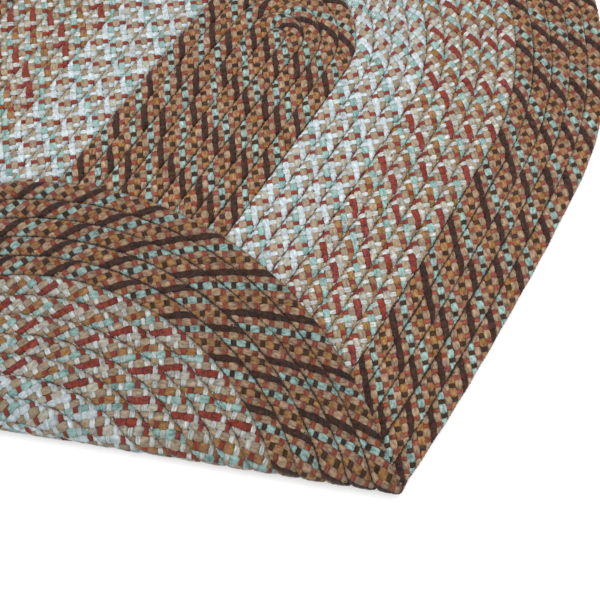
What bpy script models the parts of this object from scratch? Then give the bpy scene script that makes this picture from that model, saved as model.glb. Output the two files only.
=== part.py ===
"""An oval braided rug, 24 x 36 in, lying flat with its near end folded over on top.

Flat tubular braid is laid round a straight core in butted rounds and sewn edge to edge. The
braid changes colour three times, so the rug is four bands of rounds, each band its own solid.
Metres, +Z up. The rug lies on z = 0, and the origin is under the middle of the folded rug.
"""

import math

import bmesh
import bpy
from mathutils import Vector

# The braid and the flat rug
BRAID_WIDTH = 0.0162  # one round, from seam to seam
THICKNESS = 0.010  # over the crests of both faces
SEAM_DEPTH = 0.0021  # a seam lies this far below the crests
CREST_SHARE = 0.50  # the level part of a round's width
SHOULDER_SHARE = 0.86  # where the outer edge starts to turn down, as a share of its round
SHOULDER_DROP = 0.0016
CORE_LENGTH = 0.315  # the straight run of the centre braid
SIDE_BOW = 0.005  # the long sides bow out by this much at their middle
BAND_GAP = 0.0003

# Each band is named from the centre out, with its rounds of braid and its overall colour.
# The centre band starts with half a round, because the centre braid is its own mirror image.
BANDS = (
    {"name": "centre_brown_band", "rounds": 4.5, "colour": (0.20, 0.105, 0.065)},
    {"name": "white_band", "rounds": 4, "colour": (0.50, 0.50, 0.44)},
    {"name": "light_red_band", "rounds": 5, "colour": (0.36, 0.27, 0.20)},
    {"name": "outer_brown_band", "rounds": 5, "colour": (0.20, 0.105, 0.065)},
)
FIBRE_ROUGHNESS = 0.9

# Where the rug lies, seen from above
RUG_CENTRE = Vector((0.0, -0.0825))  # puts the middle of the folded rug over the origin
RUG_HEADING = math.radians(56.0)  # its long axis, from +X
FOLD_HEADING = math.radians(-8.8)  # the fold line, from +X
FOLD_DISTANCE = 0.2178  # from the rug's centre to the fold line

# The fold, in section: a round bend that turns past level, a slope and a landing
BEND_RADIUS = 0.012  # of the middle of the cloth
SLOPE = math.radians(12.0)
LANDING_RADIUS = 0.15
LAYER_GAP = 0.0005
BEND_FACETS = 7
LANDING_FACETS = 3
ON_LINE = 0.0002  # a point this close to a fold line counts as on it

# Facets of the outline
END_STEPS = 16  # in each half circle
SIDE_STEPS = 4  # along each long side

OUTER_RADIUS = BRAID_WIDTH * sum(band["rounds"] for band in BANDS)
HALF = THICKNESS / 2
FOLD_ALONG = Vector((math.cos(FOLD_HEADING), math.sin(FOLD_HEADING)))
FOLD_NORMAL = Vector((-math.sin(FOLD_HEADING), math.cos(FOLD_HEADING)))  # towards the flat part
FOLD_LINE = RUG_CENTRE.dot(FOLD_NORMAL) - FOLD_DISTANCE  # its distance along the normal


def clear_scene():
    for thing in list(bpy.data.objects):
        bpy.data.objects.remove(thing)


def oval(radius):
    """Points of the oval at this distance from the core, in the rug's own axes."""
    reach = CORE_LENGTH / 2
    points = []
    for side in (1, -1):
        for step in range(SIDE_STEPS):
            along = reach * (2 * step / SIDE_STEPS - 1)
            bow = SIDE_BOW * (1 - (along / reach) ** 2) * radius / OUTER_RADIUS
            points.append(Vector((side * along, -side * (radius + bow))))
        for step in range(END_STEPS):
            turn = math.pi * (step / END_STEPS - 0.5)
            points.append(Vector((side * (reach + radius * math.cos(turn)), side * radius * math.sin(turn))))
    return points


def band_profile(first, rounds, innermost, outermost):
    """The band's section: (distance from the core, half thickness there), from its inner edge out."""
    seam = HALF - SEAM_DEPTH
    crest_margin = (1 - CREST_SHARE) / 2
    profile = []
    start = first
    if innermost:
        profile.append((BRAID_WIDTH * CREST_SHARE / 2, HALF))
        start = first + 0.5
    for index in range(round(first + rounds - start)):
        inner = (start + index) * BRAID_WIDTH
        edge = inner + BAND_GAP / 2 if index == 0 and not innermost else inner
        profile.append((edge, seam))
        profile.append((inner + crest_margin * BRAID_WIDTH, HALF))
        profile.append((inner + (1 - crest_margin) * BRAID_WIDTH, HALF))
    outer = (first + rounds) * BRAID_WIDTH
    if outermost:
        profile.append((outer - (1 - SHOULDER_SHARE) * BRAID_WIDTH, HALF - SHOULDER_DROP))
        profile.append((outer, 0.0))
    else:
        profile.append((outer - BAND_GAP / 2, seam))
    return profile


def loft_band(profile, innermost):
    """The flat band as a closed mesh: oval loops over the top, down the edge and back below."""
    bm = bmesh.new()
    lower = [(radius, -height) for radius, height in reversed(profile) if height > 0]
    loops = []
    for radius, height in profile + lower:
        loops.append([bm.verts.new((p.x, p.y, height)) for p in oval(radius)])
    pairs = list(zip(loops, loops[1:]))
    if innermost:
        bm.faces.new(loops[0])
        bm.faces.new(list(reversed(loops[-1])))
    else:
        pairs.append((loops[-1], loops[0]))
    for near, far in pairs:
        for index in range(len(near)):
            after = (index + 1) % len(near)
            bm.faces.new((near[index], far[index], far[after], near[after]))
    return bm


def place_flat(bm):
    """Turns the flat rug to the way it lies."""
    cos, sin = math.cos(RUG_HEADING), math.sin(RUG_HEADING)
    for vert in bm.verts:
        x, y, z = vert.co
        vert.co = (RUG_CENTRE.x + x * cos - y * sin, RUG_CENTRE.y + x * sin + y * cos, z)


def fold_section():
    """The fold's stretches in order, each with its length and how fast it turns."""
    bend_end = HALF + BEND_RADIUS * (1 + math.cos(SLOPE))
    landed = THICKNESS + LAYER_GAP + HALF
    slope_drop = bend_end - landed - LANDING_RADIUS * (1 - math.cos(SLOPE))
    return (
        {"length": BEND_RADIUS * (math.pi + SLOPE), "turn": 1 / BEND_RADIUS, "facets": BEND_FACETS},
        {"length": slope_drop / math.sin(SLOPE), "turn": 0.0, "facets": 1},
        {"length": LANDING_RADIUS * SLOPE, "turn": -1 / LANDING_RADIUS, "facets": LANDING_FACETS},
    )


def middle_at(distance):
    """Where the middle of the cloth is past the fold line: (way out, height, direction)."""
    out, height, heading = 0.0, HALF, 0.0
    left = distance
    for stretch in fold_section():
        run = min(left, stretch["length"])
        after = heading + stretch["turn"] * run
        if stretch["turn"]:
            out += (math.sin(after) - math.sin(heading)) / stretch["turn"]
            height += (math.cos(heading) - math.cos(after)) / stretch["turn"]
        else:
            out += run * math.cos(heading)
            height += run * math.sin(heading)
        heading = after
        left -= run
    return out + left * math.cos(heading), height + left * math.sin(heading), heading


def cut_fold_lines(bm):
    """Adds an edge along each line where the cloth starts or stops to turn, or turns a facet."""
    start = 0.0
    distances = [0.0]
    for stretch in fold_section():
        for facet in range(1, stretch["facets"] + 1):
            distances.append(start + stretch["length"] * facet / stretch["facets"])
        start += stretch["length"]
    for distance in distances:
        bmesh.ops.bisect_plane(
            bm,
            geom=bm.verts[:] + bm.edges[:] + bm.faces[:],
            dist=ON_LINE,
            plane_co=(FOLD_NORMAL * (FOLD_LINE - distance)).to_3d(),
            plane_no=FOLD_NORMAL.to_3d(),
        )


def split_walls(bm):
    """Splits each upright quad from low to high, so that facing walls of two bands keep their gap."""
    for face in [f for f in bm.faces if abs(f.normal.z) < 0.5 and len(f.verts) == 4]:
        corners = sorted(face.verts, key=lambda v: v.co.x + v.co.y)
        near_low = min(corners[:2], key=lambda v: v.co.z)
        far_high = max(corners[2:], key=lambda v: v.co.z)
        bmesh.utils.face_split(face, near_low, far_high)


def fold_over(bm):
    """Lifts the flat rug onto z = 0 and turns what lies past the fold line over on top."""
    for vert in bm.verts:
        flat = vert.co.to_2d()
        past = FOLD_LINE - flat.dot(FOLD_NORMAL)
        if past <= 0:
            place, height = flat, HALF + vert.co.z
        else:
            out, middle, heading = middle_at(past)
            out -= vert.co.z * math.sin(heading)
            height = middle + vert.co.z * math.cos(heading)
            place = FOLD_ALONG * flat.dot(FOLD_ALONG) + FOLD_NORMAL * (FOLD_LINE - out)
        vert.co = (place.x, place.y, height)


def fibre(name, colour):
    material = bpy.data.materials.new(name)
    material.use_nodes = True
    shader = material.node_tree.nodes["Principled BSDF"]
    shader.inputs["Base Color"].default_value = (*colour, 1.0)
    shader.inputs["Roughness"].default_value = FIBRE_ROUGHNESS
    shader.inputs["Metallic"].default_value = 0.0
    return material


def make_band(collection, band, first):
    innermost = first == 0
    outermost = band is BANDS[-1]
    bm = loft_band(band_profile(first, band["rounds"], innermost, outermost), innermost)
    place_flat(bm)
    cut_fold_lines(bm)
    bmesh.ops.recalc_face_normals(bm, faces=bm.faces)
    split_walls(bm)
    bmesh.ops.triangulate(bm, faces=bm.faces)
    fold_over(bm)
    mesh = bpy.data.meshes.new(band["name"])
    bm.to_mesh(mesh)
    bm.free()
    mesh.materials.append(fibre(band["name"], band["colour"]))
    collection.objects.link(bpy.data.objects.new(band["name"], mesh))


def make_rug():
    clear_scene()
    collection = bpy.data.collections.new("braided_rug")
    bpy.context.scene.collection.children.link(collection)
    first = 0
    for band in BANDS:
        make_band(collection, band, first)
        first += band["rounds"]


make_rug()
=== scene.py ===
"""The looks of an oval braided rug that lies with its near end folded over on top.

The rug is made as its maker made it: flat tubular braid, laid in rounds about a straight core run,
laced edge to edge, and folded last. Metres, +Z up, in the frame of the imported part.
"""

import math

import bpy
import numpy as np
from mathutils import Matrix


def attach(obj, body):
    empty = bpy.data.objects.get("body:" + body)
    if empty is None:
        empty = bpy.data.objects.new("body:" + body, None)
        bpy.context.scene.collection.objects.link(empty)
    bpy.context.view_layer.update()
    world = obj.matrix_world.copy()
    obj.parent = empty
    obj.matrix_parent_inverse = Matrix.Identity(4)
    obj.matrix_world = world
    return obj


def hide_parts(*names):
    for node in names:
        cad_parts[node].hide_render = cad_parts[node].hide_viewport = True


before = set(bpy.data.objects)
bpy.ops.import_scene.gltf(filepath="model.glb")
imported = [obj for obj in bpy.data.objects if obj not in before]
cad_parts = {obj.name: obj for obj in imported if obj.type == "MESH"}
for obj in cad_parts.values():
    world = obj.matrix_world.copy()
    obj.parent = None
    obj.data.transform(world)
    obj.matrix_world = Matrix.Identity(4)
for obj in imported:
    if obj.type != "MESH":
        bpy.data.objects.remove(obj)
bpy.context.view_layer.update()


# Camera: close above the rug and steep, 12 degrees off straight down, with the fold across the
# lower half of the picture.
CAMERA_HEIGHT = 0.3992
CAMERA_ELEVATION = math.radians(78.0)
LOOKS_AT = (0.1093, -0.1986)  # the point of the floor in the middle of the picture
LENS_MM = 29.53
SENSOR_MM = 36.0
NEAREST_SEEN = 0.01

camera_data = bpy.data.cameras.new("camera")
camera_data.lens = LENS_MM
camera_data.sensor_width = SENSOR_MM
camera_data.clip_start = NEAREST_SEEN
camera = bpy.data.objects.new("camera", camera_data)
camera.location = (
    LOOKS_AT[0],
    LOOKS_AT[1] - CAMERA_HEIGHT / math.tan(CAMERA_ELEVATION),
    CAMERA_HEIGHT,
)
camera.rotation_euler = (math.pi / 2 - CAMERA_ELEVATION, 0.0, 0.0)
bpy.context.scene.collection.objects.link(camera)
bpy.context.scene.camera = camera


# Inner cloth of each band: the body of the braids under their outer strands, with a ridge for every
# round and a groove where two rounds meet. Dense yarn, laid flat and then folded, coloured dark as
# painted shade where it shows between the floats.
BRAID_WIDTH = 0.0162
THICKNESS = 0.010
HALF_THICKNESS = THICKNESS / 2
CORE_LENGTH = 0.315
SIDE_BOW = 0.005  # of the long sides, at the rug's edge
OVAL_STEPS = 2000  # the fine steps that an oval is measured in
# Each band has its first round's inner edge and its width in rounds, from the middle line out.
BANDS = (
    {"name": "centre_brown", "node": "centre_brown_band", "slot": "brown_braid",
     "first": 0, "rounds": 4.5},
    {"name": "white", "node": "white_band", "slot": "white_braid",
     "first": 4.5, "rounds": 4},
    {"name": "light_red", "node": "light_red_band", "slot": "light_red_braid",
     "first": 8.5, "rounds": 5},
    {"name": "outer_brown", "node": "outer_brown_band", "slot": "brown_braid",
     "first": 13.5, "rounds": 5},
)
ROUNDS_ACROSS = 18.5  # from the rug's middle line to its edge
EDGE = BRAID_WIDTH * ROUNDS_ACROSS
RUG_CENTRE = np.array((0.0, -0.0825))
RUG_HEADING = math.radians(56.0)  # of its long axis, from +X
RUG_TURN = np.array((
    (math.cos(RUG_HEADING), math.sin(RUG_HEADING)),
    (-math.sin(RUG_HEADING), math.cos(RUG_HEADING)),
))
FOLD_HEADING = math.radians(-8.8)
FOLD_DISTANCE = 0.2178  # from the rug's centre
FOLD_ALONG = np.array((math.cos(FOLD_HEADING), math.sin(FOLD_HEADING)))
FOLD_NORMAL = np.array((-math.sin(FOLD_HEADING), math.cos(FOLD_HEADING)))
FOLD_LINE = RUG_CENTRE @ FOLD_NORMAL - FOLD_DISTANCE
BEND_RADIUS = 0.012  # of the middle of the cloth
SLOPE = math.radians(12.0)
LANDING_RADIUS = 0.15
LAYER_GAP = 0.0005
CLOTH_DROP = 0.0012  # the inner cloth lies this far below the crests of the strands
CLOTH_STEP = 0.012
CLOTH_SEAM_HALF = 0.0004  # half the inner cloth's thickness where two rounds meet
CENTRE_CREST = 0.25  # half the centre braid's level crest, in braid widths
# A ridge, over the share of its round's width: how far it lies below the cloth's crest
CLOTH_RIDGE = ((0.05, 0.0017), (0.18, 0.0004), (0.82, 0.0004), (0.95, 0.0017))
CLOTH_YARN = {"grain": 900.0, "detail": 3.0, "roughness": 0.95}
# Both cloths are coloured darker than the yarns over them: painted shade for the gaps between
# floats.
SHADED_BROWN_CLOTH = {"dark": (0.016, 0.010, 0.007), "light": (0.050, 0.032, 0.022)}
SHADED_PALE_CLOTH = {"dark": (0.04, 0.027, 0.019), "light": (0.13, 0.09, 0.065)}


def spread_along(places, ahead, line):
    """The points of a line at these places, given how far ahead each of its own points lies."""
    return np.column_stack([np.interp(places, ahead, line[:, axis]) for axis in (0, 1)])


def oval(radius, shares):
    """Places on the oval at this distance from the core, from the left end of its near side."""
    reach = CORE_LENGTH / 2
    turns = np.linspace(-math.pi / 2, math.pi / 2, OVAL_STEPS)
    runs = np.linspace(-reach, reach, OVAL_STEPS)
    bow = SIDE_BOW * (1 - (runs / reach) ** 2) * radius / EDGE
    side = np.column_stack((runs, -radius - bow))
    end = np.column_stack((reach + radius * np.cos(turns), radius * np.sin(turns)))
    half = np.vstack((side[:-1], end[:-1]))
    loop = np.vstack((half, -half, half[:1]))
    steps = np.linalg.norm(np.diff(loop, axis=0), axis=1)
    ahead = np.concatenate(([0.0], np.cumsum(steps)))
    return spread_along(ahead[-1] * np.asarray(shares), ahead, loop)


def oval_length(radius):
    closed = oval(radius, np.linspace(0, 1, OVAL_STEPS + 1))
    return float(np.linalg.norm(np.diff(closed, axis=0), axis=1).sum())


def fold_section():
    """The fold's stretches in order, each with its length and how fast it turns."""
    bend_end = HALF_THICKNESS + BEND_RADIUS * (1 + math.cos(SLOPE))
    landed = THICKNESS + LAYER_GAP + HALF_THICKNESS
    slope_drop = bend_end - landed - LANDING_RADIUS * (1 - math.cos(SLOPE))
    return (
        {"length": BEND_RADIUS * (math.pi + SLOPE), "turn": 1 / BEND_RADIUS},
        {"length": slope_drop / math.sin(SLOPE), "turn": 0.0},
        {"length": LANDING_RADIUS * SLOPE, "turn": -1 / LANDING_RADIUS},
    )


def middle_at(distance):
    """Where the middle of the cloth is past the fold line: (way out, height, direction)."""
    out = np.zeros_like(distance)
    height = np.full_like(distance, HALF_THICKNESS)
    heading = np.zeros_like(distance)
    left = distance.copy()
    for stretch in fold_section():
        run = np.minimum(left, stretch["length"])
        after = heading + stretch["turn"] * run
        if stretch["turn"]:
            out += (np.sin(after) - np.sin(heading)) / stretch["turn"]
            height += (np.cos(heading) - np.cos(after)) / stretch["turn"]
        else:
            out += run * np.cos(heading)
            height += run * np.sin(heading)
        heading = after
        left -= run
    return out + left * np.cos(heading), height + left * np.sin(heading), heading


def turn_flat(points):
    """Turns flat places from the rug's own axes to the way it lies."""
    return points @ RUG_TURN + RUG_CENTRE


def lay(points):
    """Takes points of the flat rug, with their height from its middle plane, to where they lie."""
    flat = turn_flat(points[:, :2])
    lift = points[:, 2]
    past = FOLD_LINE - flat @ FOLD_NORMAL
    out, middle, heading = middle_at(np.maximum(past, 0.0))
    away = np.where(past > 0, FOLD_LINE - (out - lift * np.sin(heading)), flat @ FOLD_NORMAL)
    place = np.outer(flat @ FOLD_ALONG, FOLD_ALONG) + np.outer(away, FOLD_NORMAL)
    return np.column_stack((place, middle + lift * np.cos(heading)))


def band_section(band):
    """The inner cloth's section over a band: (distance from the core, half thickness)."""
    crest = HALF_THICKNESS - CLOTH_DROP
    section = []
    rounds = band["rounds"]
    start = band["first"]
    if start == 0:
        section.append((CENTRE_CREST * BRAID_WIDTH, crest))
        start = 0.5
        rounds -= 0.5
    for index in range(int(rounds)):
        inner = (start + index) * BRAID_WIDTH
        section.append((inner, CLOTH_SEAM_HALF))
        for share, drop in CLOTH_RIDGE:
            section.append((inner + share * BRAID_WIDTH, crest - drop))
    section.append(((start + int(rounds)) * BRAID_WIDTH - CLOTH_DROP, CLOTH_SEAM_HALF))
    return section


def ring_faces(rings, count, capped):
    """Faces from each ring of points to the next and back to the first, or two caps there."""
    faces = []
    for near in range(rings):
        far = (near + 1) % rings
        if far == 0 and capped:
            faces.append(list(range(count)))
            faces.append(list(range(near * count + count - 1, near * count - 1, -1)))
            continue
        for index in range(count):
            after = (index + 1) % count
            faces.append((
                near * count + index, far * count + index,
                far * count + after, near * count + after,
            ))
    return faces


def laid_piece(name, points, faces):
    """A piece of the rug from the points and faces of its flat form."""
    mesh = bpy.data.meshes.new(name)
    mesh.from_pydata(lay(points), [], faces)
    mesh.shade_smooth()
    piece = bpy.data.objects.new(name, mesh)
    bpy.context.scene.collection.objects.link(piece)
    return piece


def band_cloth(band):
    """A band's inner cloth, its section carried round the oval and laid."""
    section = band_section(band)
    rings = section + [(radius, -half) for radius, half in reversed(section)]
    count = int(oval_length(section[-1][0]) / CLOTH_STEP)
    shares = np.linspace(0, 1, count, endpoint=False)
    points = np.vstack([
        np.column_stack((oval(radius, shares), np.full(count, half))) for radius, half in rings
    ])
    faces = ring_faces(len(rings), count, band["first"] == 0)
    return laid_piece(band["name"] + "_inner_cloth", points, faces)


def node(tree, kind, *inputs, **settings):
    """A new node with its first inputs set, each to a value or linked from another's socket."""
    made = tree.nodes.new(kind)
    for name, value in settings.items():
        setattr(made, name, value)
    sockets = [socket for socket in made.inputs if socket.enabled and not socket.is_unavailable]
    for socket, value in zip(sockets, inputs):
        if isinstance(value, bpy.types.NodeSocket):
            tree.links.new(value, socket)
        elif value is not None:
            socket.default_value = value
    return made


def result(made):
    """A node's first output that is in use."""
    return next(socket for socket in made.outputs if socket.enabled)


def new_material(name):
    """A new material, its node tree and the Principled BSDF in it."""
    material = bpy.data.materials.new(name)
    material.use_nodes = True
    return material, material.node_tree, material.node_tree.nodes["Principled BSDF"]


def dense_yarn(name, dark, light, grain, detail, roughness):
    """Matt twisted yarn with a fine grain from dark to light."""
    material, tree, shader = new_material(name)
    place = node(tree, "ShaderNodeTexCoord").outputs["Object"]
    twist = result(node(tree, "ShaderNodeTexNoise", place, grain, detail))
    ramp = tree.nodes.new("ShaderNodeValToRGB")
    ramp.color_ramp.elements[0].color = (*dark, 1.0)
    ramp.color_ramp.elements[1].color = (*light, 1.0)
    tree.links.new(twist, ramp.inputs["Fac"])
    tree.links.new(ramp.outputs["Color"], shader.inputs["Base Color"])
    shader.inputs["Roughness"].default_value = roughness
    return material


# Inner yarns in dark colours as painted shade where they show between the floats
brown_inside_shaded = dense_yarn("brown_inner_yarn", **SHADED_BROWN_CLOTH, **CLOTH_YARN)
pale_inside_shaded = dense_yarn("pale_inner_yarn", **SHADED_PALE_CLOTH, **CLOTH_YARN)
for band in BANDS:
    cloth = band_cloth(band)
    cloth.data.materials.append(brown_inside_shaded if band["slot"] == "brown_braid" else pale_inside_shaded)
    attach(cloth, "root")
    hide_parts(band["node"])


# Rounds of braid: twelve strands of rag yarn plaited one over, one under into a flat tube, six
# turning to the left (wide) and six to the right (narrow, flush between them). Where a strand
# passes over another it shows as a float. Each round is one piece.
STRANDS = 12
STRANDS_ONE_WAY = STRANDS / 2
SECTION_GIRTH = 0.0468  # once round the braid's section
CREST_POWER = 3.8  # of the braid's section, a flattened round: 2 is an ellipse, more is squarer
SECTION_FINE_STEPS = 1440
SECTION_STEPS = 360
CROWN = 0.0010  # the height of a float
WIDE_LENGTH = 0.80  # a wide float's half length in steps, and its half width in strand widths
WIDE_WIDTH = 0.65
NARROW_LENGTH = 0.72  # a narrow float's half length in strand widths; its braid gives its width
TUCKED_SHARE = 1.0  # a float's ends go on below its own crown by this share of it
# A float's outline narrows towards its ends, and its back sinks, by these two powers each.
OUTLINE_TAPER = (5, 0.5)
BACK_TAPER = (6, 0.9)
# The stations along a float, and the ring of points over it at each: (to the side, up).
WIDE_STATIONS = (-0.86, -0.33, 0.33, 0.86)
WIDE_RING = ((-1.0, 0.45), (-0.8, 0.93), (0.0, 1.0), (0.8, 0.93), (1.0, 0.45))
NARROW_STATIONS = (-0.84, 0.0, 0.84)
NARROW_RING = ((-1.0, 0.4), (-0.6, 0.97), (0.6, 0.97), (1.0, 0.4))
HIDDEN_STATIONS = (0.0,)
HIDDEN_RING = ((-1.0, 0.4), (0.0, 1.0), (1.0, 0.4))
# A braid's pitch runs from a strand to its next neighbour the same way. Its roll sets which strands
# meet on top, in strands, its spread is how much wider apart they lie on its faces than at its
# sides, its press is how wide it would be beside its neighbours' room for it, and its narrow
# strands have this half width in steps.
BRAIDS = {
    "centre_brown": {
        "yarn": "brown", "pitch": 0.0081, "folded_pitch": 0.0086,
        "roll": 0.0, "spread": -0.07, "press": 1.02, "narrow": 0.56},
    "white": {
        "yarn": "white", "pitch": 0.0080, "folded_pitch": 0.0084,
        "roll": 2.5, "spread": 0.02, "press": 1.045, "narrow": 0.50},
    "light_red": {
        "yarn": "light_red", "pitch": 0.00775, "folded_pitch": 0.0084,
        "roll": 2.25, "spread": 0.03, "press": 1.055, "narrow": 0.51},
    "outer_brown": {
        "yarn": "brown", "pitch": 0.0079, "folded_pitch": 0.0087,
        "roll": 0.0, "spread": -0.07, "press": 1.02, "narrow": 0.56},
}
# The colours repeat every twelve rows of strands. Each round, from the centre out, is given the row
# at its first mark, the middle of the near side, and at its second, on the far side or, past the
# centre, on the folded end.
FIRST_MARKS = (
    0.5, 1.0, 0.5, 2.0, 11.5, 1.5, 2.5, 8.0, 11.0, 10.0,
    0.5, 6.0, 4.5, 1.5, 2.0, 6.5, 8.0, 4.5, 3.0,
)
SECOND_MARKS = (
    0.5, 0.0, 6.0, 5.0, 0.0, 11.5, 2.0, 4.0, 8.0, 0.0,
    3.5, 9.5, 8.0, 4.5, 5.0, 11.0, 1.0, 10.5, 8.0,
)
FIRST_FOLDED_ROUND = 9
FOLDED_MARK = 0.100  # the folded end's mark lies this far before the start of the near side
BEND_ROWS = 4.0  # more rows than usual are pushed together in the bend
ROW_STEPS = 6000  # the fine steps in which a round's rows are counted
CENTRE_OVERHANG = 0.42  # the centre braid's last row past the core's end, in braid widths
CENTRE_TAPER = 0.99  # where that braid's ends are cut off, just short of a point
CORE_REACH = CORE_LENGTH / 2 + CENTRE_OVERHANG * BRAID_WIDTH
NEARBY = 0.001  # for the direction of a line
# How unevenly it is made: drifts along a round, and what differs from float to float
SIDE_WANDER = 0.0006
HEIGHT_WANDER = 0.0003
ROLL_WANDER = 0.12  # how far the braid turns about its own line as it goes, in strands
WANDER_WAVES = (3, 17, 71)  # once round
WANDER_SEED = 100
STRAND_SLIP = 0.0004
LENGTH_VARIES = (0.94, 1.07)
WIDTH_VARIES = (0.89, 1.07)
HEIGHT_VARIES = (0.8, 1.15)
ASKEW = (-0.12, 0.12)  # radians off the strand's own line
# Only floats that can be seen are fine. Way up is 1 on the braid's upper face, -1 on its lower.
TOP_SHOWN_FROM = -0.1
EDGE_SHOWN_FROM = -0.6  # on the outermost round
UNDER_SHOWN_TO = 0.1
MARGIN = 0.012  # what shows beyond the folded end's edge, and still has fine floats
FOLD_REACH = 0.4  # more than the rug has past the fold line
FOLD_STEPS = 400


def tapered(along, squareness, roundness):
    """One in the middle of a float and nothing at its ends."""
    return (1 - abs(along) ** squareness) ** roundness


def float_points(stations, ring):
    """A ring of points over the float at each station, between its two tucked ends."""
    points = [(-1.0, 0.0, -TUCKED_SHARE)]
    for along in stations:
        width = tapered(along, *OUTLINE_TAPER)
        crown = tapered(along, *BACK_TAPER)
        for across, up in ring:
            points.append((along, across * width, up * (crown + TUCKED_SHARE) - TUCKED_SHARE))
    points.append((1.0, 0.0, -TUCKED_SHARE))
    return points


def float_faces(stations, size):
    """Faces from ring to ring, and from the first and the last ring to the tucked ends."""
    last = stations * size + 1
    faces = []
    for index in range(size):
        after = (index + 1) % size
        faces.append((0, 1 + index, 1 + after))
        faces.append((last, last - size + after, last - size + index))
        for station in range(stations - 1):
            near, far = 1 + station * size, 1 + (station + 1) * size
            faces.append((near + index, far + index, far + after, near + after))
    return faces


def float_mesh(name, stations, ring):
    """One strand's float: a closed pillow with tucked ends, two long, two wide and one high."""
    mesh = bpy.data.meshes.new(name)
    mesh.from_pydata(float_points(stations, ring), [], float_faces(len(stations), len(ring)))
    lengthwise = mesh.uv_layers.new(name="strand_uv")
    for loop in mesh.loops:
        x, y, _ = mesh.vertices[loop.vertex_index].co
        lengthwise.data[loop.index].uv = (x / 2 + 0.5, y / 2 + 0.5)
    mesh.shade_smooth()
    return bpy.data.objects.new(name, mesh)


def maths(tree, operation, *values):
    return result(node(tree, "ShaderNodeMath", *values, operation=operation))


def product(tree, first, second):
    return maths(tree, "MULTIPLY", first, second)


def total(tree, first, second):
    return maths(tree, "ADD", first, second)


def scaled(tree, value, scale, start):
    """The value, scaled and added to a start."""
    return maths(tree, "MULTIPLY_ADD", value, scale, start)


def sized(tree, first, second):
    return result(node(tree, "ShaderNodeVectorMath", first, second, operation="MULTIPLY"))


def combined(tree, x, y, z):
    return result(node(tree, "ShaderNodeCombineXYZ", x, y, z))


def parts(tree, value):
    return node(tree, "ShaderNodeSeparateXYZ", value).outputs


def stored_value(tree, name):
    return result(node(tree, "GeometryNodeInputNamedAttribute", name, data_type="FLOAT"))


def varied(tree, given, low, high, salt):
    """A number that differs from float to float; each salt draws another one."""
    seed = total(tree, given["Seed"], float(salt))
    return result(node(
        tree, "FunctionNodeRandomValue", low, high, None, seed, data_type="FLOAT"))


def float_size(tree, given, wide, step):
    """A float's size from the net's spacing there, so that the floats fill the surface."""
    side = given["Column Step"]
    way = maths(tree, "SQRT", total(tree, product(tree, step, step), product(tree, side, side)))
    width = maths(tree, "DIVIDE", product(tree, product(tree, step, side), 2.0), way)
    wide_size = sized(tree, combined(tree, way, width, 1.0), given["Wide Shares"])
    narrow_size = sized(tree, combined(tree, width, way, 1.0), given["Narrow Shares"])
    size = result(node(tree, "ShaderNodeMix", wide, narrow_size, wide_size, data_type="VECTOR"))
    variety = combined(
        tree, varied(tree, given, *LENGTH_VARIES, salt=1),
        varied(tree, given, *WIDTH_VARIES, salt=2), varied(tree, given, *HEIGHT_VARIES, salt=3))
    return sized(tree, size, variety)


def strand_number(tree, row, column, wide):
    """Which of the twelve strands a float belongs to: 0 to 5 are wide and 6 to 11 narrow."""
    way = scaled(tree, wide, -2.0, 1.0)
    crossed = total(tree, row, product(tree, column, way))
    strand = maths(tree, "FLOORED_MODULO", product(tree, crossed, 0.5), STRANDS_ONE_WAY)
    first = scaled(tree, wide, -STRANDS_ONE_WAY, STRANDS_ONE_WAY)
    return total(tree, maths(tree, "ROUND", strand), first)


def float_places(tree, given, points, columns_round, size):
    """Moves each float from its row's point to its column, a little off, and down by its height."""
    slip = given["Slip"]
    back = product(tree, slip, -1.0)
    ahead = varied(tree, given, back, slip, salt=6)
    around = total(
        tree, product(tree, columns_round, given["Column Step"]),
        varied(tree, given, back, slip, salt=7))
    down = product(tree, parts(tree, size)["Z"], -1.0)
    place = combined(tree, ahead, around, down)
    return result(node(tree, "GeometryNodeSetPosition", points, None, None, place))


def float_turn(tree, given, wide, step):
    """Turns each float to its strand's way: wide ones to the left, narrow ones to the right."""
    side = product(tree, given["Column Step"], scaled(tree, wide, 2.0, -1.0))
    turn = total(tree, maths(tree, "ARCTAN2", side, step), varied(tree, given, *ASKEW, salt=4))
    return combined(tree, 0.0, 0.0, turn)


def shown(tree, given, way_up):
    """One for a float that can be seen and so has a fine mesh."""
    above = maths(tree, "GREATER_THAN", way_up, given["Shown From"])
    below = maths(tree, "LESS_THAN", way_up, UNDER_SHOWN_TO)
    return maths(
        tree, "MAXIMUM", product(tree, above, stored_value(tree, "top_shows")),
        product(tree, below, stored_value(tree, "under_shows")))


def chosen_shapes(tree, given, wide, way_up):
    """Each shape of float, with one for the points that get it and nought for the others."""
    shows = shown(tree, given, way_up)
    return (
        ("Wide Float", product(tree, shows, wide)),
        ("Narrow Float", product(tree, shows, maths(tree, "SUBTRACT", 1.0, wide))),
        ("Hidden Float", maths(tree, "SUBTRACT", 1.0, shows)),
    )


def marked(tree, given, points, row, column, wide, way_up):
    """Stores what the yarn has to know of each float: its strand, its shade and its face."""
    for name, value in (
        ("strand", strand_number(tree, row, column, wide)),
        ("shade", varied(tree, given, 0.0, 1.0, salt=5)),
        ("underside", maths(tree, "LESS_THAN", way_up, 0.0)),
    ):
        points = result(node(
            tree, "GeometryNodeStoreNamedAttribute", points, None, name, value,
            data_type="FLOAT", domain="POINT"))
    return points


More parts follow.
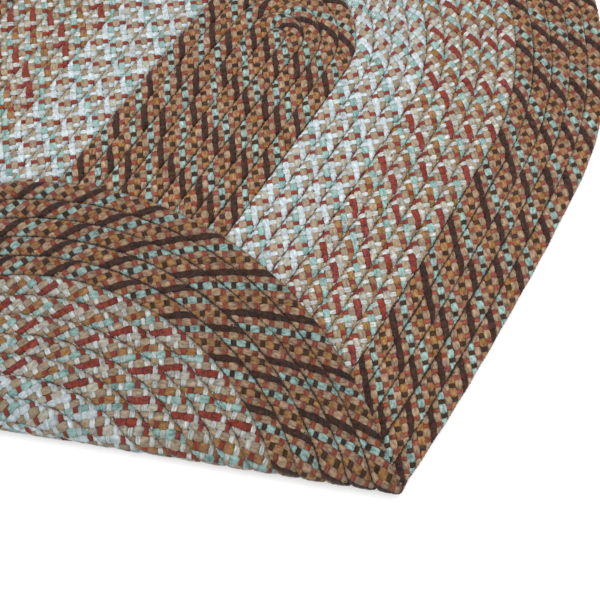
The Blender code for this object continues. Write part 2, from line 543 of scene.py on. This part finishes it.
def put_floats(tree, given, points, shapes, rotation, size):
    """Puts each shape on the points chosen for it, as one real mesh with its material."""
    joined = tree.nodes.new("GeometryNodeJoinGeometry")
    for shape, chosen in shapes:
        pillow = node(tree, "GeometryNodeObjectInfo", given[shape]).outputs["Geometry"]
        made = tree.nodes.new("GeometryNodeInstanceOnPoints")
        tree.links.new(points, made.inputs["Points"])
        tree.links.new(maths(tree, "GREATER_THAN", chosen, 0.5), made.inputs["Selection"])
        tree.links.new(pillow, made.inputs["Instance"])
        tree.links.new(rotation, made.inputs["Rotation"])
        tree.links.new(size, made.inputs["Scale"])
        tree.links.new(made.outputs["Instances"], joined.inputs[0])
    real = result(node(tree, "GeometryNodeRealizeInstances", joined.outputs[0]))
    return result(node(tree, "GeometryNodeSetMaterial", real, None, given["Material"]))


def new_net_group():
    """An empty strand net with its inputs and its output."""
    tree = bpy.data.node_groups.new("strand_net", "GeometryNodeTree")
    tree.interface.new_socket("Geometry", in_out="OUTPUT", socket_type="NodeSocketGeometry")
    for name, kind in (
        ("Rows", "Geometry"), ("Wide Float", "Object"), ("Narrow Float", "Object"),
        ("Hidden Float", "Object"), ("Wide Shares", "Vector"), ("Narrow Shares", "Vector"),
        ("Column Step", "Float"), ("Slip", "Float"), ("Shown From", "Float"), ("Seed", "Int"),
        ("Material", "Material"),
    ):
        tree.interface.new_socket(name, in_out="INPUT", socket_type="NodeSocket" + kind)
    return tree


def net_tree():
    """A flat net of strands: on each row's point, six floats side by side, wide rows by turns."""
    tree = new_net_group()
    given = tree.nodes.new("NodeGroupInput").outputs
    copies = node(
        tree, "GeometryNodeDuplicateElements", given["Rows"], None, STRANDS // 2, domain="POINT")
    row = stored_value(tree, "row")
    step = stored_value(tree, "step")
    wide = maths(tree, "FLOORED_MODULO", row, 2.0)
    column = scaled(tree, copies.outputs["Duplicate Index"], 2.0, wide)
    columns_round = total(tree, column, stored_value(tree, "roll"))
    way_up = maths(tree, "SINE", product(tree, columns_round, math.tau / STRANDS))
    size = float_size(tree, given, wide, step)
    points = float_places(tree, given, copies.outputs["Geometry"], columns_round, size)
    points = marked(tree, given, points, row, column, wide, way_up)
    shapes = chosen_shapes(tree, given, wide, way_up)
    rotation = float_turn(tree, given, wide, step)
    finished = put_floats(tree, given, points, shapes, rotation, size)
    tree.links.new(finished, tree.nodes.new("NodeGroupOutput").inputs[0])
    return tree


def under_folded_end(laid, flat):
    """True for places of the lower layer that the folded end covers, well inside its edge."""
    away = laid[:, :2] @ FOLD_NORMAL - FOLD_LINE
    straight = np.linspace(0.0, FOLD_REACH, FOLD_STEPS + 1)
    out, _, _ = middle_at(straight)
    turned_back = np.argmax(out)
    past = np.interp(away, -out[turned_back:], straight[turned_back:])
    above = np.outer(flat @ FOLD_ALONG, FOLD_ALONG) + np.outer(FOLD_LINE - past, FOLD_NORMAL)
    own = (above - RUG_CENTRE) @ RUG_TURN.T
    beyond = np.maximum(np.abs(own[:, 0]) - CORE_LENGTH / 2, 0)
    return (np.hypot(beyond, own[:, 1]) < EDGE - MARGIN) & (away > 0)


def rows_between(start, end, usual):
    """The count of rows nearest to the usual one that brings the repeat from mark to mark."""
    difference = end - start
    return difference + STRANDS * round((usual - difference) / STRANDS)


def eased(run, length, rows, start_pitch, end_pitch):
    """How many rows lie before a place, with the given pitches at the start and the end."""
    f = run / length
    starting = 2 * length / start_pitch * (f ** 3 - 2 * f ** 2 + f)
    ending = 2 * length / end_pitch * (f ** 3 - f ** 2)
    return rows * (3 * f ** 2 - 2 * f ** 3) + starting + ending


def row_places(index, length, braid):
    """Each row's number and its distance ahead of the first mark, once round."""
    first_mark, second_mark = FIRST_MARKS[index], SECOND_MARKS[index]
    folded = index >= FIRST_FOLDED_ROUND
    first_pitch = braid["pitch"]
    second_pitch = braid["folded_pitch"] if folded else first_pitch
    second = length - CORE_LENGTH / 2 - FOLDED_MARK if folded else length / 2
    usual = (first_pitch + second_pitch) / 2
    there = rows_between(first_mark, second_mark, 2 * second / usual)
    usual_back = 2 * (length - second) / usual + BEND_ROWS * folded
    back = rows_between(second_mark, first_mark, usual_back)
    run = np.linspace(0, length, ROW_STEPS + 1)
    out = np.minimum(run, second)
    counts = eased(out, second, there, first_pitch, second_pitch)
    counts += eased(run - out, length - second, back, second_pitch, first_pitch)
    numbers = math.ceil(first_mark) + np.arange(round(there + back))
    return numbers, np.interp(numbers - first_mark, counts, run)


def oval_line(radius, length, shares):
    """Places on an oval and the ways to their left."""
    near = NEARBY / length
    before, places, after = (oval(radius, (shares + d) % 1) for d in (-near, 0.0, near))
    ahead = after - before
    ahead /= np.linalg.norm(ahead, axis=1)[:, None]
    return places, np.column_stack((-ahead[:, 1], ahead[:, 0]))


def middle_line(index, run):
    """A round's middle line at these distances along it: places, ways to the left, fullness."""
    if index == 0:
        x = run - CORE_REACH
        beyond = (np.abs(x) - CORE_LENGTH / 2) / (BRAID_WIDTH / 2)
        fullness = np.sqrt(1 - np.clip(beyond, 0.0, CENTRE_TAPER) ** 2)
        return np.column_stack((x, 0 * x)), np.tile((0.0, 1.0), (len(x), 1)), fullness
    radius = index * BRAID_WIDTH
    length = oval_length(radius)
    places, left = oval_line(radius, length, (run + CORE_LENGTH / 2) / length)
    return places, left, np.ones(len(run))


def drift(index, run, length):
    """Slow uneven drifts along a round: sideways, up and in how far the braid has turned."""
    chance = np.random.default_rng(WANDER_SEED + index)
    drifts = []
    for amount in (SIDE_WANDER, HEIGHT_WANDER, ROLL_WANDER):
        phases = chance.uniform(0, math.tau, len(WANDER_WAVES))
        waves = [
            np.sin(math.tau * run / length * count + phase)
            for count, phase in zip(WANDER_WAVES, phases)
        ]
        drifts.append(amount * sum(waves) / len(WANDER_WAVES))
    return drifts


def rows_mesh(runs, values):
    """A point for each row at its distance along the round, with its values stored on it."""
    mesh = bpy.data.meshes.new("rows")
    mesh.from_pydata(np.column_stack((runs, 0 * runs, 0 * runs)), [], [])
    for name, value in values.items():
        stored = mesh.attributes.new(name, "FLOAT", "POINT")
        stored.data.foreach_set("value", value.astype(np.float32))
    return mesh


def row_points(index, braid):
    """A round's rows of crossings, each with what its floats have to know, and its length."""
    if index == 0:
        length = 2 * CORE_REACH
        count = STRANDS * round(2 * length / braid["pitch"] / STRANDS)
        runs = np.linspace(0, length, count)
        numbers = np.arange(count) + round(FIRST_MARKS[0] - count / 2) % STRANDS
    else:
        length = oval_length(index * BRAID_WIDTH)
        numbers, runs = row_places(index, length, braid)
    places, _, _ = middle_line(index, runs)
    flat = turn_flat(places)
    past = FOLD_LINE - flat @ FOLD_NORMAL
    covered = under_folded_end(lay(np.column_stack((places, 0 * runs))), flat)
    mesh = rows_mesh(runs, {
        "row": numbers, "step": np.gradient(runs),
        "roll": braid["roll"] + drift(index, runs, length)[2],
        "top_shows": (past < BEND_RADIUS) & ~covered, "under_shows": past > -MARGIN,
    })
    return bpy.data.objects.new("rows", mesh), length


def section_table(press):
    """The braid's outer section, once round from its right edge over the top: places, ways out."""
    turns = np.linspace(0.0, math.tau, SECTION_FINE_STEPS + 1)
    cos, sin = np.cos(turns), np.sin(turns)
    left = -np.sign(cos) * np.abs(cos) ** (2 / CREST_POWER) * press * BRAID_WIDTH / 2
    up = np.sign(sin) * np.abs(sin) ** (2 / CREST_POWER) * HALF_THICKNESS
    places = np.column_stack((left, up))
    steps = np.linalg.norm(np.diff(places, axis=0), axis=1)
    shares = np.concatenate(([0.0], np.cumsum(steps))) / steps.sum()
    even = np.linspace(0.0, 1.0, SECTION_STEPS + 1)
    places = spread_along(even, shares, places)
    ways = np.gradient(places, axis=0)
    ways[0] = ways[-1] = (0.0, 1.0)
    ways /= np.linalg.norm(ways, axis=1)[:, None]
    return even, places, np.column_stack((-ways[:, 1], ways[:, 0]))


def wrap(points, index, length, braid):
    """Wraps a flat net, (run, way round, height), about the braid's section, along its line."""
    run, around, height = points.T
    share = around / SECTION_GIRTH % 1
    share = share - braid["spread"] * np.sin(2 * math.tau * share) / (2 * math.tau)
    even, spots, outwards = section_table(braid["press"])
    spot = spread_along(share, even, spots)
    outward = spread_along(share, even, outwards)
    places, left, fullness = middle_line(index, run)
    sideways, upwards, _ = drift(index, run, length)
    across, up = ((spot + outward * height[:, None]) * fullness[:, None]).T
    return np.column_stack((places + left * (across + sideways)[:, None], up + upwards))


# The yarns: each strand's own colour, by sRGB, and the order of the twelve round the braid
YARNS = {
    "aqua": (127, 152, 146),
    "pale_aqua": (128, 156, 150),
    "tan": (141, 118, 95),
    "beige": (142, 126, 105),
    "gold": (134, 99, 64),
    "dark": (57, 38, 32),
    "umber": (59, 41, 30),
    "black": (50, 40, 35),
    "rust": (120, 64, 49),
    "red": (119, 54, 44),
    "white": (173, 183, 186),
    "cream": (171, 175, 172),
    "sage": (154, 150, 137),
}
YARN_ORDER = {
    "brown": (
        "aqua", "tan", "gold", "tan", "dark", "tan",
        "umber", "rust", "black", "rust", "umber", "rust"),
    "light_red": (
        "red", "sage", "beige", "gold", "pale_aqua", "beige",
        "red", "cream", "cream", "red", "cream", "cream"),
    "white": (
        "pale_aqua", "white", "beige", "sage", "white", "beige",
        "red", "white", "white", "red", "white", "white"),
}
# Painted shade on the yarn, as shares of its light: in its creases, which also get painted
# highlight, where it dives under its neighbours, and on the underside. The first is full in brown
# yarn and weaker in paler ones, and sets how strong its fibres and speckles are as well.
SHADE_AND_GRAIN_DEPTHS = {"brown": 1.0, "light_red": 0.8, "white": 0.55}
# Painted shade round each float's rim, where it dives under its neighbours
RIM_PAINTED_SHADE = 0.6
RIM_SHADE_POWER = 5.0
# Painted shade on the underside, which shows on the folded end
UNDERSIDE_PAINTED_SHADE = 0.25
# Noise that makes up the yarn's surface: (scale, detail, roughness). Fibres and creases lie along
# the strand and have their frequency along it and across it first.
HEATHER = (160.0, 2.0, 0.6)
SPECKLE = (700.0, 2.0, 0.55)
FIBRES = (1.6, 9.0, 1.6, 3.0, 0.7)
CREASES = (1.6, 2.6, 1.3, 1.0, 0.5)
APART = (37.0, 11.0)  # this far apart in the noise, along and across, lie the floats' own pieces
# The creases' share is painted shade and highlight; the fibres' and speckles' shares are the yarn's
# own grain.
CREASE_SHARE = 2.4
FIBRE_SHARE = 0.6
SPECKLE_SHARE = 0.6
MEAN_SHADE_AND_GRAIN = 1.73  # of the creases and fibres together
MEAN_LIGHT = 0.88
FLOAT_LIGHTER = 0.3  # from the darkest float to the lightest
LEAST_HUE, HUE_RANGE = 0.473, 0.05
LEAST_SATURATION, SATURATION_RANGE = 0.75, 0.5
BUMP_STRENGTH = 0.5
BUMP_HEIGHT = 0.0004
BUMP_CREASE_SHARE = 2.5
YARN_SURFACE = {
    "Roughness": 0.9, "Specular IOR Level": 0.2, "Sheen Weight": 0.06, "Sheen Roughness": 0.5,
}


def linear(colour):
    """An sRGB colour as linear light."""
    shares = [part / 255 for part in colour]
    return [s / 12.92 if s <= 0.04045 else ((s + 0.055) / 1.055) ** 2.4 for s in shares]


def float_value(tree, name):
    """A value stored on every float."""
    return node(tree, "ShaderNodeAttribute", attribute_name=name).outputs["Fac"]


def strand_colour(tree, order):
    """Each strand's own colour, from its number."""
    ramp = tree.nodes.new("ShaderNodeValToRGB")
    ramp.color_ramp.interpolation = "CONSTANT"
    stops = ramp.color_ramp.elements
    stops.remove(stops[1])
    for index, yarn in enumerate(order):
        stop = stops[0] if index == 0 else stops.new(index / STRANDS)
        stop.color = (*linear(YARNS[yarn]), 1.0)
    number = maths(tree, "DIVIDE", total(tree, float_value(tree, "strand"), 0.5), float(STRANDS))
    tree.links.new(number, ramp.inputs["Fac"])
    return ramp.outputs["Color"]


def strand_noise(tree, uv, shade, along, across, *noise):
    """Noise that runs lengthwise in a strand and differs from float to float."""
    place = combined(
        tree, scaled(tree, uv["X"], along, product(tree, shade, APART[0])),
        product(tree, uv["Y"], across), product(tree, shade, APART[1]))
    return result(node(tree, "ShaderNodeTexNoise", place, *noise))


def rim(tree, uv):
    """Where painted shade falls on a float: nearly nothing on its crown, and one where it dives
    under its neighbours.
    """
    reach = [maths(tree, "ABSOLUTE", scaled(tree, uv[axis], 2.0, -1.0)) for axis in "XY"]
    return maths(tree, "POWER", maths(tree, "MAXIMUM", *reach), RIM_SHADE_POWER)


def yarn_shade_and_grain(tree, uv, crease, fibre, place):
    """Painted shade and highlight of the yarn's creases and rims, with the grain of its fibres and
    speckles: nought is its mean, and dark is below it.
    """
    speckle = result(node(tree, "ShaderNodeTexNoise", place, *SPECKLE))
    painted_shade_and_grain = scaled(tree, crease, CREASE_SHARE, scaled(tree, fibre, FIBRE_SHARE, -MEAN_SHADE_AND_GRAIN))
    painted_shade_and_grain = total(tree, painted_shade_and_grain, product(tree, speckle, SPECKLE_SHARE))
    # painted shade round the float's rim
    return scaled(tree, rim(tree, uv), -RIM_PAINTED_SHADE, painted_shade_and_grain)


def yarn_colour(tree, order, light, place):
    """Each strand's own colour, heathered in hue and saturation, in its own light."""
    heather = result(node(tree, "ShaderNodeTexNoise", place, *HEATHER))
    tinted = tree.nodes.new("ShaderNodeHueSaturation")
    hue = scaled(tree, heather, HUE_RANGE, LEAST_HUE)
    saturation = scaled(tree, heather, SATURATION_RANGE, LEAST_SATURATION)
    tree.links.new(strand_colour(tree, order), tinted.inputs["Color"])
    tree.links.new(hue, tinted.inputs["Hue"])
    tree.links.new(saturation, tinted.inputs["Saturation"])
    tree.links.new(light, tinted.inputs["Value"])
    return tinted.outputs["Color"]


def yarn_material(name, order, depth):
    """Matt rag yarn with creases and fibres along the strand; the creases are bumped and also
    painted with shade and highlight.
    """
    material, tree, shader = new_material(name)
    shade = float_value(tree, "shade")
    place = node(tree, "ShaderNodeTexCoord").outputs["Object"]
    uv = parts(tree, result(node(tree, "ShaderNodeUVMap", uv_map="strand_uv")))
    fibre = strand_noise(tree, uv, shade, *FIBRES)
    crease = strand_noise(tree, uv, shade, *CREASES)
    # Painted shade and highlight of the creases and rims, with the yarn's own grain of fibres and
    # speckles
    painted_shade_and_grain = yarn_shade_and_grain(tree, uv, crease, fibre, place)
    light = scaled(tree, painted_shade_and_grain, depth, scaled(tree, shade, FLOAT_LIGHTER, MEAN_LIGHT))
    # Painted shade on the underside floats, over the folded end
    under = scaled(tree, float_value(tree, "underside"), -UNDERSIDE_PAINTED_SHADE, 1.0)
    colour = yarn_colour(tree, order, product(tree, light, under), place)
    tree.links.new(colour, shader.inputs["Base Color"])
    bump = tree.nodes.new("ShaderNodeBump")
    bump.inputs["Strength"].default_value = BUMP_STRENGTH
    bump.inputs["Distance"].default_value = BUMP_HEIGHT
    tree.links.new(scaled(tree, crease, BUMP_CREASE_SHARE, fibre), bump.inputs["Height"])
    tree.links.new(bump.outputs["Normal"], shader.inputs["Normal"])
    for socket, value in YARN_SURFACE.items():
        shader.inputs[socket].default_value = value
    return material


wide_float = float_mesh("wide_float", WIDE_STATIONS, WIDE_RING)
narrow_float = float_mesh("narrow_float", NARROW_STATIONS, NARROW_RING)
hidden_float = float_mesh("hidden_float", HIDDEN_STATIONS, HIDDEN_RING)
net = net_tree()
yarns = {
    name: yarn_material(name + "_yarn", order, SHADE_AND_GRAIN_DEPTHS[name])
    for name, order in YARN_ORDER.items()
}


def finished_net(piece, values):
    """The strand net on a piece's rows, made with these inputs, as a plain mesh."""
    modifier = piece.modifiers.new("strands", "NODES")
    modifier.node_group = net
    for socket in net.interface.items_tree:
        if socket.in_out == "INPUT" and socket.name in values:
            modifier[socket.identifier] = values[socket.name]
    evaluated = piece.evaluated_get(bpy.context.evaluated_depsgraph_get())
    mesh = bpy.data.meshes.new_from_object(evaluated)
    mesh.name = piece.name
    piece.modifiers.clear()
    return mesh


def plait_round(index, band_name):
    """One round of braid, its flat net of strands wrapped into a tube, laid and folded."""
    braid = BRAIDS[band_name]
    piece, length = row_points(index, braid)
    piece.name = f"{band_name}_round_{index}"
    bpy.context.scene.collection.objects.link(piece)
    outermost = index > ROUNDS_ACROSS - 1
    mesh = finished_net(piece, {
        "Wide Float": wide_float, "Narrow Float": narrow_float, "Hidden Float": hidden_float,
        "Wide Shares": (WIDE_LENGTH, WIDE_WIDTH, CROWN),
        "Narrow Shares": (NARROW_LENGTH, braid["narrow"], CROWN),
        "Column Step": SECTION_GIRTH / STRANDS, "Slip": STRAND_SLIP,
        "Shown From": EDGE_SHOWN_FROM if outermost else TOP_SHOWN_FROM, "Seed": index,
        "Material": yarns[braid["yarn"]],
    })
    rows = piece.data
    piece.data = mesh
    bpy.data.meshes.remove(rows)
    points = np.zeros(len(mesh.vertices) * 3)
    mesh.vertices.foreach_get("co", points)
    laid = lay(wrap(points.reshape(-1, 3), index, length, braid))
    laid[:, 2] = np.maximum(laid[:, 2], 0.0)  # the floor presses the undermost strands flat
    mesh.vertices.foreach_set("co", laid.ravel())
    mesh.update()
    return piece


round_pieces = {band["name"]: [] for band in BANDS}
for index in range(int(ROUNDS_ACROSS) + 1):
    band = next(b for b in BANDS if index < b["first"] + b["rounds"])
    braid_round = plait_round(index, band["name"])
    round_pieces[band["name"]].append(braid_round)
    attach(braid_round, "root")


# Lacing: dark thread that runs to and fro in every seam, from one braid to the next and from face
# to face, and draws them together. It lies low in the seam.
STITCH = 0.012
THREAD_RADIUS = 0.00035
THREAD_SIDES = 3
THREAD_REACH = 0.0007  # to each side of the seam
THREAD_HEIGHT = 0.0018  # above and below the middle of the cloth
TURNS_A_STITCH = 4
DARK_THREAD = {
    "dark": (0.020, 0.012, 0.008), "light": (0.075, 0.048, 0.034),
    "grain": 2500.0, "detail": 2.0, "roughness": 0.8,
}


def lacing_points(radius):
    """A ring of points round the thread at each of its turns: over, across, under and back."""
    length = oval_length(radius)
    turns = TURNS_A_STITCH * round(length / STITCH)
    places, left = oval_line(radius, length, np.arange(turns) / turns)
    quarter = np.arange(turns) % TURNS_A_STITCH
    sideways = THREAD_REACH * np.where((quarter == 0) | (quarter == 3), 1, -1)
    lift = THREAD_HEIGHT * np.where(quarter < 2, 1, -1)
    rings = np.zeros((turns, THREAD_SIDES, 3))
    for corner in range(THREAD_SIDES):
        turn = math.tau * corner / THREAD_SIDES
        across = sideways + THREAD_RADIUS * math.cos(turn)
        rings[:, corner, :2] = places + left * across[:, None]
        rings[:, corner, 2] = lift + THREAD_RADIUS * math.sin(turn)
    return rings.reshape(-1, 3)


def thread_faces(start, turns):
    """The faces of one closed thread whose points begin at this number."""
    faces = []
    for turn in range(turns):
        here = start + THREAD_SIDES * turn
        there = start + THREAD_SIDES * ((turn + 1) % turns)
        for corner in range(THREAD_SIDES):
            after = (corner + 1) % THREAD_SIDES
            faces.append((here + corner, here + after, there + after, there + corner))
    return faces


def lacing(band):
    """The thread of a band's seams, with the seam that joins it to the band inside it."""
    seams = [index + 0.5 for index in range(int(ROUNDS_ACROSS))]
    seams = [seam for seam in seams if band["first"] <= seam < band["first"] + band["rounds"]]
    threads, faces, start = [], [], 0
    for seam in seams:
        points = lacing_points(seam * BRAID_WIDTH)
        faces.extend(thread_faces(start, len(points) // THREAD_SIDES))
        threads.append(points)
        start += len(points)
    return laid_piece(band["name"] + "_lacing", np.vstack(threads), faces)


thread = dense_yarn("dark_thread", **DARK_THREAD)
for band in BANDS:
    laced = lacing(band)
    laced.data.materials.append(thread)
    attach(laced, "root")


# Floor: a plain pale surface that the rug lies on, not part of it. It is painted matt, and lies
# a hair lower than the rug so that the two don't share a plane.
FLOOR_SIZE = 6.0
FLOOR_HEIGHT = -0.0002
FLOOR_PAINT = (0.93, 0.93, 0.93, 1.0)
FLOOR_ROUGHNESS = 0.9

bpy.ops.mesh.primitive_plane_add(size=FLOOR_SIZE, location=(0.0, 0.0, FLOOR_HEIGHT))
floor = bpy.context.object
floor.name = "floor"
paint, _, paint_shader = new_material("pale_floor")
paint_shader.inputs["Base Color"].default_value = FLOOR_PAINT
paint_shader.inputs["Roughness"].default_value = FLOOR_ROUGHNESS
floor.data.materials.append(paint)


# Light: a pale studio that is brightest overhead, with one broad lamp close above the rug, which
# gives the soft narrow shadow along the rug's edge.
HORIZON_LIGHT = 0.5
OVERHEAD_LIGHTER = 0.3
STUDIO_WHITE = (1.0, 1.0, 1.0, 1.0)
LAMP_WATTS = 6.6
LAMP_SIZE = 0.5
LAMP_PLACE = (0.04, -0.12, 0.9)  # it shines straight down

world = bpy.data.worlds.new("studio")
world.use_nodes = True
sky = world.node_tree
upwards = parts(sky, node(sky, "ShaderNodeTexCoord").outputs["Generated"])["Z"]
brightness = scaled(sky, upwards, OVERHEAD_LIGHTER, HORIZON_LIGHT)
brightness = maths(sky, "MAXIMUM", brightness, HORIZON_LIGHT)
sky.links.new(brightness, sky.nodes["Background"].inputs["Strength"])
sky.nodes["Background"].inputs["Color"].default_value = STUDIO_WHITE
bpy.context.scene.world = world
lamp_data = bpy.data.lights.new("broad_lamp", "AREA")
lamp_data.energy = LAMP_WATTS
lamp_data.size = LAMP_SIZE
lamp = bpy.data.objects.new("broad_lamp", lamp_data)
lamp.location = LAMP_PLACE
bpy.context.scene.collection.objects.link(lamp)
bpy.context.scene.view_settings.view_transform = "Standard"
